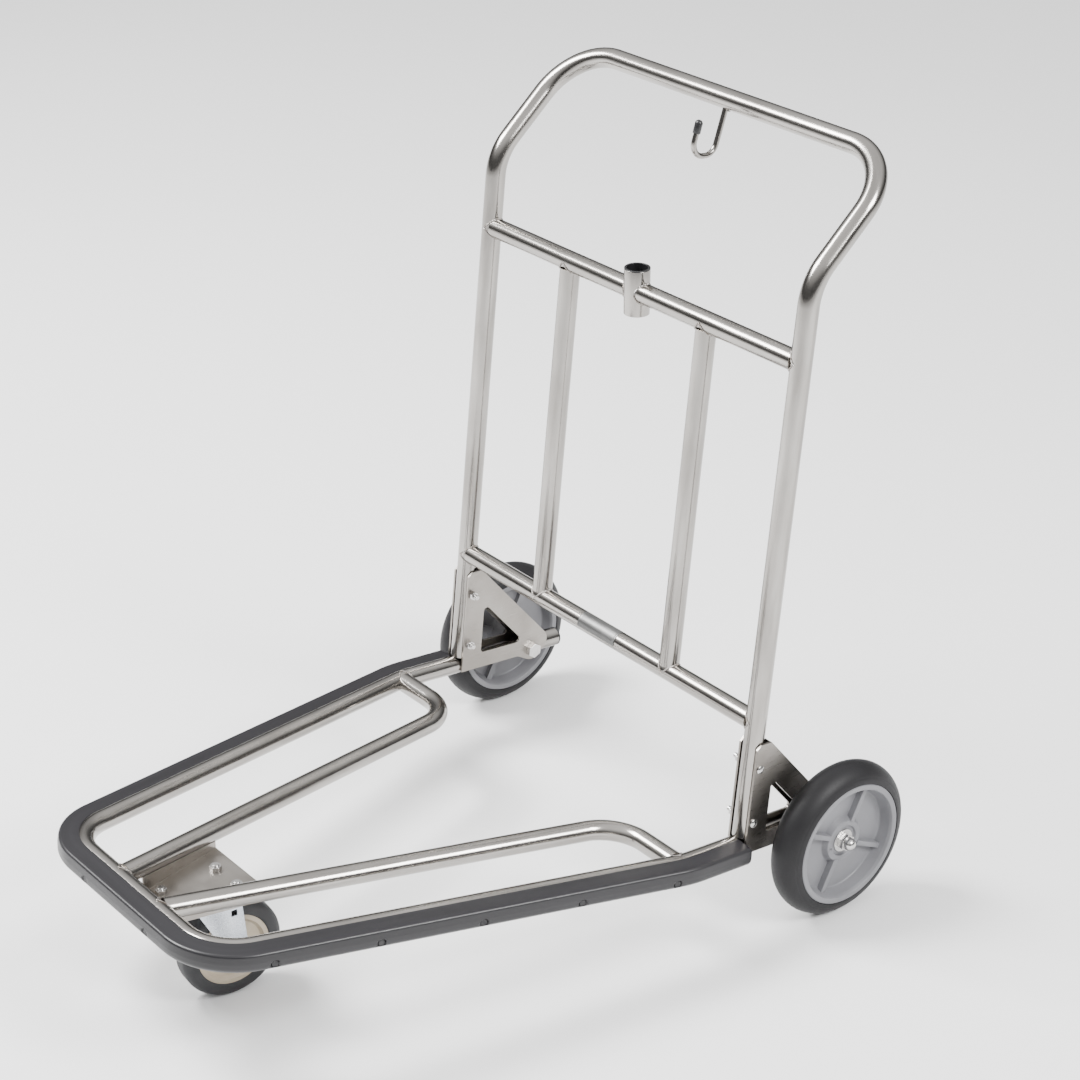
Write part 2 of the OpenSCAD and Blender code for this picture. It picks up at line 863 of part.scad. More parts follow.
module caster_mount_plate() {
    color("gainsboro")
        difference() {
            translate([0, 0, caster_h + face_gap])
                linear_extrude(mount_drop + tube_d)
                    mount_outline(flange_in);
            translate([0, 0, mount_top])
                linear_extrude(mount_drop + 2 * tube_d)
                    between_flanges();
            in_frame() {
                translate([-half_w, -nose_run, -tube_r / 2])
                    cube([frame_w, nose_run, 3 * tube_d]);
                for (side = [-1, 1]) {
                    mirror([side > 0 ? 0 : 1, 0, 0])
                        rod(rail_path, [rail_r], tube_r + weld_gap);
                }
            }
            bolt_places()
                translate([0, 0, caster_h - eps])
                    cylinder(r = caster_bolt_d / 2 + bolt_fit, h = mount_t + 2 * eps);
        }
}

// The space between the two flanges, open at the front and back.
module between_flanges() {
    y0 = caster_y - plate_front - eps;
    y1 = caster_y + plate_back + eps;
    inset = flange_in + mount_t;
    polygon([[-rail_x(y0) + inset, y0], [rail_x(y0) - inset, y0],
             [rail_x(y1) - inset, y1], [-rail_x(y1) + inset, y1]]);
}

module bolt_places() {
    for (x = [-1, 1], y = [-1, 1]) {
        translate([x * hole_x / 2, caster_y + y * hole_y / 2, 0])
            children();
    }
}

top_plate_t = 3;
caster_hex_d = 14.4;
caster_head_h = 5;
caster_nut_h = 6;
bolt_over = 8;
module caster_bolts() {
    color("gainsboro")
        bolt_places() {
            translate([0, 0, caster_h - top_plate_t - caster_head_h])
                cylinder(d = caster_hex_d, h = caster_head_h - face_gap, $fn = 6);
            translate([0, 0, caster_h - top_plate_t - eps])
                cylinder(d = caster_bolt_d, h = mount_t + top_plate_t + eps + bolt_over);
        }
}

module caster_nuts() {
    color("gainsboro")
        bolt_places()
            translate([0, 0, mount_top + face_gap])
                difference() {
                    cylinder(d = caster_hex_d, h = caster_nut_h, $fn = 6);
                    translate([0, 0, -eps])
                        cylinder(r = caster_bolt_d / 2 + face_gap, h = caster_nut_h + 2 * eps);
                }
}

caster_plate_x = 60;
caster_plate_y = 92;
race_r = 28;
race_top = caster_h - top_plate_t;
crown_top = race_top - 11;
crown_t = 4;
kingpin_r = 6;
kingpin_head_r = 9;
kingpin_head_h = 3;
module caster_top_plate() {
    color("lightsteelblue")
        difference() {
            translate([-caster_plate_x / 2, caster_y - caster_plate_y / 2, race_top])
                cube([caster_plate_x, caster_plate_y, top_plate_t]);
            bolt_places()
                translate([0, 0, race_top - eps])
                    cylinder(r = caster_bolt_d / 2 + bolt_fit, h = top_plate_t + 2 * eps);
            translate([0, caster_y, race_top - eps])
                cylinder(r = kingpin_r + face_gap, h = top_plate_t + 2 * eps);
        }
}

// Ball race between the plate and the turning crown.
module caster_race() {
    color("lightsteelblue")
        translate([0, caster_y, 0])
            rotate_extrude()
                polygon([[kingpin_r + face_gap, crown_top + turn_gap],
                         [race_r - 3, crown_top + turn_gap], [race_r, crown_top + 4],
                         [race_r - 4, race_top - face_gap],
                         [kingpin_r + face_gap, race_top - face_gap]]);
}

module caster_kingpin() {
    color("lightsteelblue")
        translate([0, caster_y, 0])
            union() {
                translate([0, 0, crown_top - crown_t - kingpin_head_h])
                    cylinder(r = kingpin_r, h = caster_h - crown_top + crown_t + kingpin_head_h);
                translate([0, 0, crown_top - crown_t - kingpin_head_h - turn_gap])
                    cylinder(r = kingpin_head_r, h = kingpin_head_h);
            }
}

caster_r = caster_d / 2;
leg_in = caster_w / 2 + 4;
leg_t = 3;
pin_r = 4;
sleeve_r = 6.35;
// The swivelling part turns about the kingpin.
module on_swivel() {
    translate([0, caster_y, 0])
        rotate([0, 0, caster_turn])
            children();
}

// One pressed leg: rounded about the axle, wide at the crown, with a small
// square hole in it.
leg_end_r = 16;
leg_front = 14;
leg_back = 10;
module leg_outline() {
    difference() {
        union() {
            translate([caster_trail, caster_r])
                circle(r = leg_end_r);
            polygon([[-leg_front, crown_top], [caster_trail + leg_back, crown_top],
                     [caster_trail + leg_end_r, caster_r], [caster_trail - leg_end_r, caster_r],
                     [2, crown_top - 2 * leg_end_r]]);
        }
        translate([caster_trail, caster_r])
            circle(r = pin_r + bolt_fit);
        translate([caster_trail - 4, crown_top - 18])
            square([7.5, 8]);
    }
}

module caster_fork() {
    color("lightsteelblue")
        on_swivel()
            difference() {
                union() {
                    for (x = [leg_in, -leg_in - leg_t]) {
                        translate([x, 0, 0])
                            rotate([90, 0, 90])
                                linear_extrude(leg_t)
                                    leg_outline();
                    }
                    translate([-leg_in - leg_t, -leg_front, crown_top - crown_t])
                        cube([2 * (leg_in + leg_t), leg_front + caster_trail + leg_back, crown_t]);
                    translate([0, 0, crown_top - crown_t])
                        cylinder(r = race_r - 4, h = crown_t);
                }
                translate([0, 0, crown_top - 4 * crown_t])
                    cylinder(r = kingpin_r + run_fit, h = 8 * crown_t);
            }
}

pin_hex_d = 15;
pin_head_h = 5;
pin_nut_h = 6.5;
module caster_axle() {
    color("lightsteelblue")
        on_swivel()
            translate([0, caster_trail, caster_r]) {
                bar_x(-leg_in - leg_t - eps, leg_in + leg_t + pin_nut_h + 1.5, pin_r);
                translate([-leg_in - leg_t - face_gap - pin_head_h, 0, 0])
                    rotate([0, 90, 0])
                        cylinder(d = pin_hex_d, h = pin_head_h, $fn = 6);
            }
}

module caster_axle_nut() {
    color("lightsteelblue")
        on_swivel()
            translate([leg_in + leg_t + face_gap, caster_trail, caster_r])
                rotate([0, 90, 0])
                    difference() {
                        cylinder(d = pin_hex_d, h = pin_nut_h, $fn = 6);
                        translate([0, 0, -eps])
                            cylinder(r = pin_r + face_gap, h = pin_nut_h + 2 * eps);
                    }
}

module caster_sleeve() {
    color("silver")
        on_swivel()
            translate([0, caster_trail, caster_r])
                difference() {
                    bar_x(-leg_in + face_gap, leg_in - face_gap, sleeve_r);
                    bar_x(-leg_in, leg_in, pin_r + face_gap);
                }
}

module about_caster() {
    on_swivel()
        translate([0, caster_trail, caster_r])
            rotate([0, 90, 0])
                children();
}

caster_hub_r = 46;
caster_round = 9;
module caster_tyre() {
    half = caster_w / 2;
    shoulder = caster_r - caster_round;
    color("#4a4a4d")
        about_caster()
            rotate_extrude()
                polygon(concat([[caster_hub_r + face_gap, half], [caster_hub_r + face_gap, -half]],
                               arc([shoulder, caster_round - half], caster_round, -90, 0, 8),
                               arc([shoulder, half - caster_round], caster_round, 0, 90, 8)));
}

bush_r = 9.5;
core_boss_r = 16;
core_rim_r = caster_hub_r - 6;
caster_boss = leg_in - turn_gap;
module caster_hub() {
    half = caster_w / 2;
    color("tan")
        about_caster()
            rotate_extrude()
                polygon([[bush_r + face_gap, -caster_boss], [core_boss_r, -caster_boss],
                         [core_boss_r + 2, -half + 4], [core_rim_r - 4, -half + 4],
                         [core_rim_r, -half + 1], [caster_hub_r, -half + 1],
                         [caster_hub_r, half - 1], [core_rim_r, half - 1],
                         [core_rim_r - 4, half - 4], [core_boss_r + 2, half - 4],
                         [core_boss_r, caster_boss], [bush_r + face_gap, caster_boss]]);
}

module caster_bush() {
    color("white")
        about_caster()
            difference() {
                translate([0, 0, -caster_boss])
                    cylinder(r = bush_r, h = 2 * caster_boss);
                translate([0, 0, -caster_boss - eps])
                    cylinder(r = sleeve_r + run_fit, h = 2 * caster_boss + 2 * eps);
            }
}

handle_frame();
upper_crossbar(-1);  // upper_crossbar_left
upper_crossbar(1);  // upper_crossbar_right
accessory_socket();
socket_liner();
lower_crossbar();
slat(-1);  // left_slat
slat(1);  // right_slat
bag_hook();
hook_tip();
name_plate();
base_ring();
inner_rail(-1);  // left_inner_rail
inner_rail(1);  // right_inner_rail
tube_end_plugs();
bumper();
bumper_screws();
bracket(-1);  // left_bracket
bracket(1);  // right_bracket
bracket_screws();
bracket_nuts();
axle_bolt(-1);  // left_axle_bolt
axle_bolt(1);  // right_axle_bolt
axle_spacers();
axle_washers();
axle_nuts();
caster_mount_plate();
caster_bolts();
caster_nuts();
caster_top_plate();
caster_race();
caster_kingpin();
caster_fork();
caster_axle();
caster_axle_nut();
caster_sleeve();
caster_tyre();
caster_hub();
caster_bush();
tyre(-1);  // left_tyre
hub(-1);  // left_hub
bearing(-1);  // left_bearing
tyre(1);  // right_tyre
hub(1);  // right_hub
bearing(1);  // right_bearing
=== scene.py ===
import json
import math

import bmesh
import bpy
import numpy as np
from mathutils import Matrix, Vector


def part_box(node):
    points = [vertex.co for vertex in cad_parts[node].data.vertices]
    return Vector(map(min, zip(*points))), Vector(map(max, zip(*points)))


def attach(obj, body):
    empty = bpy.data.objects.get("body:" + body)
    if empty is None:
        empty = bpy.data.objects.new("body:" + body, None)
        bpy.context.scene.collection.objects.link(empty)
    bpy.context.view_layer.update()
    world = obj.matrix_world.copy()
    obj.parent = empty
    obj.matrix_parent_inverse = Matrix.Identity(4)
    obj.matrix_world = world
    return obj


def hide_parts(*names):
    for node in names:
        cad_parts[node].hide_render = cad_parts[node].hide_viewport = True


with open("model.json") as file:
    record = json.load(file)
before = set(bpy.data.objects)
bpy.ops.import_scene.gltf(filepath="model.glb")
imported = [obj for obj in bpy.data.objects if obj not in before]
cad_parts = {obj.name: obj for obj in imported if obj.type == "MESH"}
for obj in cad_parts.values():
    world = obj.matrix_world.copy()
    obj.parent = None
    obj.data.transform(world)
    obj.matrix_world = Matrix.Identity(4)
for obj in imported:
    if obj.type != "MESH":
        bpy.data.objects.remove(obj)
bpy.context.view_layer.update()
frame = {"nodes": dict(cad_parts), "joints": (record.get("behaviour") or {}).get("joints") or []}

# ---------------------------------------------------------------- handle frame
# One length of polished stainless tube, bent at both sides and at both top
# corners. It makes the two uprights and the push handle in one piece. The cart's
# frame leans back a few degrees about the rear axle.
tube_r = 0.0127
fit_gap = 5e-5
merge_within = 2e-6
handle_bend_up = 0.710
handle_bend_r = 0.070
top_corner_r = 0.075


def middle(node):
    """The middle of a CAD node's box, in metres."""
    low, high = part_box(node)
    return np.array((low + high) / 2)


joints = {j["name"]: j for j in frame["joints"]}
axle = np.array([0.0, *joints["right_wheel_spin"]["pos_m"][1:]])
rise = middle("upper_crossbar_left") - middle("lower_crossbar")
lean = math.atan2(rise[1], rise[2])
turn_back = np.array([[1, 0, 0],
                      [0, math.cos(lean), math.sin(lean)],
                      [0, -math.sin(lean), math.cos(lean)]])


def leaning(points):
    """Points in the cart's own axes (across, rearward from the axle, up along the
    uprights) put into the shared frame: turned by the lean, then moved to the axle."""
    return np.asarray(points, float) @ turn_back.T + axle


def upright_axes(point):
    """The other way: a point of the shared frame in the cart's own leaning axes."""
    return (np.asarray(point, float) - axle) @ turn_back


def bent_line(corners, radii, step=0.0025):
    """Centre line of a bent tube. Each corner becomes an arc that starts radius x
    tan(turn / 2) before it: start + radius (sin t along + (1 - cos t) inward).
    The straight runs between are filled with evenly spaced points."""
    corners = [np.asarray(c, float) for c in corners]
    pieces = [corners[0][None, :]]
    for before, corner, after, radius in zip(corners, corners[1:], corners[2:], radii):
        along = (corner - before) / np.linalg.norm(corner - before)
        onward = (after - corner) / np.linalg.norm(after - corner)
        turn = math.acos(np.clip(along @ onward, -1, 1))
        inward = onward - along * (along @ onward)
        inward = inward / np.linalg.norm(inward)
        start = corner - along * radius * math.tan(turn / 2)
        t = np.linspace(0, turn, max(int(turn * radius / step), 10))[:, None]
        pieces.append(start + radius * (np.sin(t) * along + (1 - np.cos(t)) * inward))
    pieces.append(corners[-1][None, :])
    line = [pieces[0]]
    for last, nxt in zip(pieces, pieces[1:]):
        gap = np.linalg.norm(nxt[0] - last[-1])
        share = np.linspace(0, 1, max(int(gap / 0.02), 1) + 1)[1:, None]
        line.append(last[-1] + share * (nxt[0] - last[-1]))
        line.append(nxt[1:])
    return np.vstack(line)


def grid_mesh(name, grid, along=None, around=None, caps=True, sharp=35):
    """One closed mesh from a grid of points, whose seam column and pole rows
    repeat points that are then merged. UV is the distance along and around."""
    rows, cols = grid.shape[:2]
    if along is None:
        along = np.arange(rows) * 0.01
    if around is None:
        around = np.arange(cols) * 0.01
    i, j = np.meshgrid(np.arange(rows - 1), np.arange(cols - 1), indexing="ij")
    corner_i = np.stack([i, i, i + 1, i + 1], -1).reshape(-1, 4)
    corner_j = np.stack([j, j + 1, j + 1, j], -1).reshape(-1, 4)
    faces = (corner_i * cols + corner_j).tolist()
    uv = np.stack([along[corner_i], around[corner_j]], -1).reshape(-1, 2)
    if caps:
        ring = np.arange(cols - 1)
        for row in (0, rows - 1):
            faces.append((row * cols + ring).tolist())
            uv = np.vstack([uv, np.column_stack([np.full(cols - 1, along[row]), around[ring]])])
    mesh = bpy.data.meshes.new(name)
    mesh.from_pydata(grid.reshape(-1, 3).tolist(), [], faces)
    layer = mesh.uv_layers.new(name="UVMap")
    layer.data.foreach_set("uv", uv.astype(np.float32).ravel())
    return finish_mesh(name, mesh, sharp)


def finish_mesh(name, mesh, sharp=35):
    """Merges repeated points, turns every face outwards, shades the surface
    smooth between edges sharper than the given angle, and links the object."""
    work = bmesh.new()
    work.from_mesh(mesh)
    bmesh.ops.remove_doubles(work, verts=work.verts, dist=merge_within)
    bmesh.ops.recalc_face_normals(work, faces=work.faces)
    work.to_mesh(mesh)
    work.free()
    mesh.polygons.foreach_set("use_smooth", np.ones(len(mesh.polygons), bool))
    mesh.set_sharp_from_angle(angle=math.radians(sharp))
    piece = bpy.data.objects.new(name, mesh)
    bpy.context.scene.collection.objects.link(piece)
    return piece


def swept_grid(line, section, side):
    """Carries a section (out, up) along a line. At each point the section's first
    axis is the tangent crossed with side, and its second is square to both."""
    step = np.diff(line, axis=0)
    step = step / np.linalg.norm(step, axis=1)[:, None]
    tangent = np.vstack([step[:1], step[:-1] + step[1:], step[-1:]])
    tangent = tangent / np.linalg.norm(tangent, axis=1)[:, None]
    out = np.cross(tangent, side)
    out = out / np.linalg.norm(out, axis=1)[:, None]
    up = np.cross(out, tangent)
    section = np.broadcast_to(section, (len(line),) + section.shape[-2:])
    return (line[:, None, :] + section[..., :1] * out[:, None, :]
            + section[..., 1:] * up[:, None, :])


def lengths(line):
    """Distance along a line at each of its points."""
    return np.concatenate([[0], np.cumsum(np.linalg.norm(np.diff(line, axis=0), axis=1))])


def tube(name, line, radius, side, sides=48):
    """A round rod along a line of the leaning axes: radius (cos a, sin a)."""
    a = np.linspace(0, 2 * np.pi, sides + 1)
    circle = radius * np.column_stack([np.cos(a), np.sin(a)])
    grid = swept_grid(line, circle, np.asarray(side, float))
    return grid_mesh(name, leaning(grid), lengths(line), radius * a)


def surface(name, low, high, rough, patch, grain, bump, coords="Object", metallic=0.0,
            sockets=None):
    """A finish whose colour and roughness drift between two values with a broad
    noise (patch gives its scale along each axis), and whose surface carries a
    fine noise (grain) as a bump of the given strength."""
    material = bpy.data.materials.new(name)
    material.use_nodes = True
    nodes, links = material.node_tree.nodes, material.node_tree.links
    shader = nodes["Principled BSDF"]
    shader.inputs["Metallic"].default_value = metallic
    for key, value in (sockets or {}).items():
        shader.inputs[key].default_value = value
    place = nodes.new("ShaderNodeTexCoord")

    def noise(scale, octaves):
        """A noise field over the piece, stretched by the scale along each axis."""
        mapping = nodes.new("ShaderNodeMapping")
        mapping.inputs["Scale"].default_value = scale
        field = nodes.new("ShaderNodeTexNoise")
        field.inputs["Scale"].default_value = 1.0
        field.inputs["Detail"].default_value = octaves
        links.new(place.outputs[coords], mapping.inputs["Vector"])
        links.new(mapping.outputs["Vector"], field.inputs["Vector"])
        return field.outputs["Fac"]

    broad = noise(patch, 4.0)
    fine = noise(grain, 6.0)
    ramp = nodes.new("ShaderNodeValToRGB")
    ramp.color_ramp.elements[0].position = 0.3
    ramp.color_ramp.elements[0].color = (*low, 1)
    ramp.color_ramp.elements[1].position = 0.7
    ramp.color_ramp.elements[1].color = (*high, 1)
    links.new(broad, ramp.inputs["Fac"])
    links.new(ramp.outputs["Color"], shader.inputs["Base Color"])
    spread = nodes.new("ShaderNodeMapRange")
    spread.inputs["From Min"].default_value = 0.3
    spread.inputs["From Max"].default_value = 0.7
    spread.inputs["To Min"].default_value = rough[0]
    spread.inputs["To Max"].default_value = rough[1]
    links.new(fine, spread.inputs["Value"])
    links.new(spread.outputs["Result"], shader.inputs["Roughness"])
    relief = nodes.new("ShaderNodeBump")
    relief.inputs["Strength"].default_value = bump
    relief.inputs["Distance"].default_value = 0.0002
    links.new(fine, relief.inputs["Height"])
    links.new(relief.outputs["Normal"], shader.inputs["Normal"])
    return material


def fit(piece, material, body, slot, *nodes):
    """Gives a piece its finish, and sets it on its body in place of CAD nodes."""
    piece.data.materials.clear()
    piece.data.materials.append(material)
    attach(piece, body)
    if nodes:
        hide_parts(*nodes)
    return piece


polished_tube = surface("polished_tube", (0.27, 0.255, 0.238), (0.40, 0.382, 0.36), (0.13, 0.24),
                        (9, 60, 1), (14, 2600, 1), 0.10, "UV", metallic=1.0)

half_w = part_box("handle_frame")[1].x - tube_r
back = upright_axes(middle("lower_crossbar"))[1]
low_bar = upright_axes(middle("lower_crossbar"))[2]
high_bar = upright_axes(middle("upper_crossbar_left"))[2]
top_bar = upright_axes(np.array(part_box("handle_frame")[1]) - tube_r)
upright = [[half_w, back, tube_r + fit_gap], [half_w, back, handle_bend_up],
           [half_w, top_bar[1], top_bar[2]]]
handle_corners = [[-x, y, z] for x, y, z in upright] + upright[::-1]
handle_radii = [handle_bend_r, top_corner_r, top_corner_r, handle_bend_r]
handle = tube("handle_frame_tube", bent_line(handle_corners, handle_radii), tube_r, (0, 1, 0))
fit(handle, polished_tube, "cart_frame", "stainless_tube", "handle_frame")

# ------------------------------------------------------------- crossbars, slats
# Straight tubes of the same stock. Their ends are coped and welded to the
# uprights, and the upper crossbar is in two halves, one on each side of the socket.
into_neighbour = 0.004
slat_x = middle("right_slat")[0]
socket_low, socket_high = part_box("accessory_socket")
socket_r = (socket_high.x - socket_low.x) / 2


def straight(name, start, end, side, *nodes):
    """A straight tube between two points of the leaning axes."""
    start, end = np.array(start), np.array(end)
    share = np.linspace(0, 1, 24)[:, None]
    piece = tube(name, start + share * (end - start), tube_r, side)
    return fit(piece, polished_tube, "cart_frame", "stainless_tube", *nodes)


bar_end = half_w - tube_r + into_neighbour
straight("lower_crossbar_tube", [-bar_end, back, low_bar], [bar_end, back, low_bar], (0, 0, 1),
         "lower_crossbar")
for word, sign in (("left", -1), ("right", 1)):
    straight(f"upper_crossbar_{word}_tube", [sign * (socket_r - into_neighbour), back, high_bar],
             [sign * bar_end, back, high_bar], (0, 0, 1), f"upper_crossbar_{word}")
    straight(f"{word}_slat_tube", [sign * slat_x, back, low_bar + tube_r - into_neighbour],
             [sign * slat_x, back, high_bar - tube_r + into_neighbour], (0, 1, 0), f"{word}_slat")

# --------------------------------------------------------- platform tube, rails
# The platform is one bent tube from the rear ends round the nose. Two bent inner
# rails are welded between the nose and the sides, and carry the caster's plate.
taper_at = -0.210
nose_at = -0.786
nose_half = 0.151
side_bend_r = 0.130
nose_bend_r = 0.062
rail_at = -0.213
rail_nose_half = 0.041
rail_bend_r = 0.058
taper = (half_w - nose_half) / (taper_at - nose_at)
tube_end = 0.052
ring_corners = [[-half_w, tube_end, 0], [-half_w, taper_at, 0], [-nose_half, nose_at, 0],
                [nose_half, nose_at, 0], [half_w, taper_at, 0], [half_w, tube_end, 0]]
ring_radii = [side_bend_r, nose_bend_r, nose_bend_r, side_bend_r]
ring = tube("platform_tube", bent_line(ring_corners, ring_radii), tube_r, (0, 0, 1))
fit(ring, polished_tube, "cart_frame", "stainless_tube", "base_ring")

rail_corner = rail_nose_half + (rail_at - nose_at) * taper
for word, sign in (("left", -1), ("right", 1)):
    nose_dir = np.array([taper, 1.0, 0.0]) / math.hypot(taper, 1)
    start = np.array([rail_nose_half, nose_at, 0.0]) + nose_dir * (tube_r - into_neighbour)
    corners = [start, [rail_corner, rail_at, 0], [bar_end, rail_at, 0]]
    line = bent_line(corners, [rail_bend_r]) * [sign, 1, 1]
    rail = tube(f"{word}_inner_rail_tube", line, tube_r, (0, 0, 1))
    fit(rail, polished_tube, "cart_frame", "stainless_tube", f"{word}_inner_rail")

# ------------------------------------------------------------------- weld beads
# Small TIG beads run round every coped joint. They are duller than the polished
# tube, rippled along their length, and tinted faintly straw by the heat.
bead_r = 0.0013
ripples = 46
bead_finish = surface("heat_tinted_weld", (0.24, 0.205, 0.175), (0.44, 0.425, 0.415), (0.28, 0.45),
                      (220, 220, 220), (900, 900, 900), 0.2, metallic=1.0)


def bead_grid(joint, branch, run, branch_r, run_r):
    """A rippled rod along the line where a branch tube meets a run tube. Round
    the branch the line lies at joint + q + s branch, where q = branch_r (cos t,
    sin t) and s solves |q + s branch, less its part along the run| = run_r."""
    branch = branch / np.linalg.norm(branch)
    first = run - branch * (run @ branch)
    first = first / np.linalg.norm(first)
    second = np.cross(branch, first)
    t = np.linspace(0, 2 * np.pi, 169)[:, None]
    q = branch_r * (np.cos(t) * first + np.sin(t) * second)
    q_off = q - (q @ run)[:, None] * run
    b_off = branch - run * (branch @ run)
    a = b_off @ b_off
    b = 2 * q_off @ b_off
    c = np.sum(q_off**2, axis=1) - run_r**2
    s = (-b + np.sqrt(np.maximum(b**2 - 4 * a * c, (0.4 * bead_r) ** 2))) / (2 * a)
    line = joint + q + s[:, None] * branch
    radial = q / branch_r
    ripple = 1 + 0.14 * np.sin(ripples * t)
    u = np.linspace(0, 2 * np.pi, 13)
    ring_out = np.cos(u)[None, :, None] * radial[:, None, :]
    ring_up = np.sin(u)[None, :, None] * branch[None, None, :]
    return line[:, None, :] + bead_r * ripple[..., None] * (ring_out + ring_up)


across, up, rear = np.array([1.0, 0, 0]), np.array([0, 0, 1.0]), np.array([0, 1.0, 0])
socket_axis = turn_back.T @ up
bead_places = []
for sign in (-1, 1):
    for height in (low_bar, high_bar):
        bead_places.append(([sign * half_w, back, height], -sign * across, up, tube_r, tube_r))
    bead_places.append(([0, back, high_bar], sign * across, socket_axis, tube_r, socket_r))
    bead_places.append(([sign * slat_x, back, low_bar], up, across, tube_r, tube_r))
    bead_places.append(([sign * slat_x, back, high_bar], -up, across, tube_r, tube_r))
    nose_dir = np.array([sign * taper, 1.0, 0.0])
    bead_places.append(([sign * rail_nose_half, nose_at, 0], nose_dir, across, tube_r, tube_r))
    bead_places.append(([sign * half_w, rail_at, 0], -sign * across, rear, tube_r, tube_r))
for number, (joint, branch, run, branch_r, run_r) in enumerate(bead_places):
    grid = bead_grid(np.array(joint, float), branch, run, branch_r, run_r)
    bead = grid_mesh(f"weld_bead_{number + 1}", leaning(grid), caps=False)
    fit(bead, bead_finish, "cart_frame", "stainless_tube")

# --------------------------------------------------------------- socket, liner
# A short upright piece of larger tube is welded into the upper crossbar. A black
# plastic liner is pushed into its mouth and covers the rim.
socket_wall = 0.00165


def lathe(name, profile, centre, axis, sides=96, sharp=35, closed=True):
    """Turns a profile of (radius, place along the axis) about an axis: centre +
    place axis + radius (cos a first + sin a second)."""
    profile = np.asarray(profile, float)
    if closed:
        profile = np.vstack([profile, profile[:1]])
    axis = np.asarray(axis, float) / np.linalg.norm(axis)
    first = np.cross(axis, [0, 0, 1.0] if abs(axis[2]) < 0.9 else [0, 1.0, 0])
    first = first / np.linalg.norm(first)
    second = np.cross(axis, first)
    a = np.linspace(0, 2 * np.pi, sides + 1)[None, :, None]
    radius = profile[:, 0][:, None, None]
    grid = (np.asarray(centre, float) + profile[:, 1][:, None, None] * axis
            + radius * (np.cos(a) * first + np.sin(a) * second))
    around = np.linspace(0, 2 * np.pi, sides + 1) * profile[:, 0].max()
    return grid_mesh(name, grid, lengths(profile), around, caps=False, sharp=sharp)


def rounded(corners, steps=5):
    """A closed outline whose corners (x, y, radius) are rounded by arcs."""
    points = [np.array(c[:2], float) for c in corners]
    outline = []
    for k, corner in enumerate(corners):
        before, here, after = points[k - 1], points[k], points[(k + 1) % len(points)]
        radius = corner[2]
        if radius == 0:
            outline.append(here[None, :])
            continue
        along = (here - before) / np.linalg.norm(here - before)
        onward = (after - here) / np.linalg.norm(after - here)
        turn = math.acos(np.clip(along @ onward, -1, 1))
        inward = onward - along * (along @ onward)
        inward = inward / np.linalg.norm(inward)
        t = np.linspace(0, turn, steps + 1)[:, None]
        start = here - along * radius * math.tan(turn / 2)
        outline.append(start + radius * (np.sin(t) * along + (1 - np.cos(t)) * inward))
    return np.vstack(outline)


black_plastic = surface("black_plastic", (0.006, 0.006, 0.007), (0.011, 0.011, 0.012), (0.28, 0.42),
                        (60, 60, 60), (1400, 1400, 1400), 0.25)
socket_mid = middle("accessory_socket")
socket_half = (socket_high.z - socket_low.z) / 2
socket_in = socket_r - socket_wall
socket_profile = rounded([(socket_in, -socket_half, 0.0003), (socket_r, -socket_half, 0.0005),
                          (socket_r, socket_half, 0.0005), (socket_in, socket_half, 0.0003)], 3)
socket = lathe("accessory_socket_tube", socket_profile, socket_mid, (0, 0, 1))
fit(socket, polished_tube, "cart_frame", "stainless_tube", "accessory_socket")
liner_low, liner_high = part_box("socket_liner")
liner_bore = 0.0129
lip = liner_high.z - socket_high.z
liner_len = socket_high.z - liner_low.z
liner_profile = rounded([(liner_bore, -liner_len, 0), (socket_in - fit_gap, -liner_len, 0.0003),
                         (socket_in - fit_gap, fit_gap, 0), (socket_r, fit_gap, 0.0003),
                         (socket_r, lip, 0.0007), (liner_bore, lip, 0.0005)], 4)
liner = lathe("black_socket_liner", liner_profile, [0, socket_mid[1], socket_high.z], (0, 0, 1))
fit(liner, black_plastic, "cart_frame", "black_plastic", "socket_liner")

# ------------------------------------------------------------------- bag hook
# A bent stainless rod welded under the top bar, with a soft black cap pushed on
# its free end so that it doesn't scratch what hangs from it.
rod_r = 0.0035
hook_bend_r = 0.0165
hook_gap = 2 * hook_bend_r + 0.004
bar = np.array([0.0, top_bar[1], top_bar[2]])
hook_corners = [bar + [0, -0.0055, -0.010], bar + [0, -0.018, -0.065],
                bar + [0, -0.018 - hook_gap, -0.065], bar + [0, -0.0095 - hook_gap, -0.0245]]
hook_line = bent_line(hook_corners, [hook_bend_r, hook_bend_r], 0.001)
hook = tube("bag_hook_rod", hook_line, rod_r, (1, 0, 0), 32)
fit(hook, polished_tube, "cart_frame", "stainless_tube", "bag_hook")
stem = hook_corners[1] - hook_corners[0]
hook_bead = grid_mesh("hook_weld_bead", leaning(bead_grid(bar, stem, across, rod_r, tube_r)),
                      caps=False)
fit(hook_bead, bead_finish, "cart_frame", "stainless_tube")

cap_r = 0.0048
cap_len = 0.012
arm = hook_corners[3] - hook_corners[2]
arm = arm / np.linalg.norm(arm)
dome = np.linspace(0, np.pi / 2, 9)
cap_profile = np.vstack([[[rod_r * 0.8, -cap_len]], [[cap_r - 0.0004, -cap_len]],
                         [[cap_r, -cap_len + 0.0006]],
                         np.column_stack([cap_r * np.cos(dome), cap_r * np.sin(dome)])])
cap_profile[-1, 0] = 0
cap_profile = np.vstack([[[0, -cap_len]], cap_profile])
cap = lathe("hook_tip_cap", cap_profile, leaning(hook_corners[3]), turn_back @ arm, 40, closed=False)
fit(cap, black_plastic, "cart_frame", "black_plastic", "hook_tip")

# ----------------------------------------------------------------- name plate
# A thin plain metal plate, bent to the lower crossbar and stuck to its front and
# top. It has a raised border and no lettering.
plate_low, plate_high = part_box("name_plate")
plate_t = 0.0008
border = 0.0022
plate_start, plate_sweep = math.radians(-12), math.radians(110)


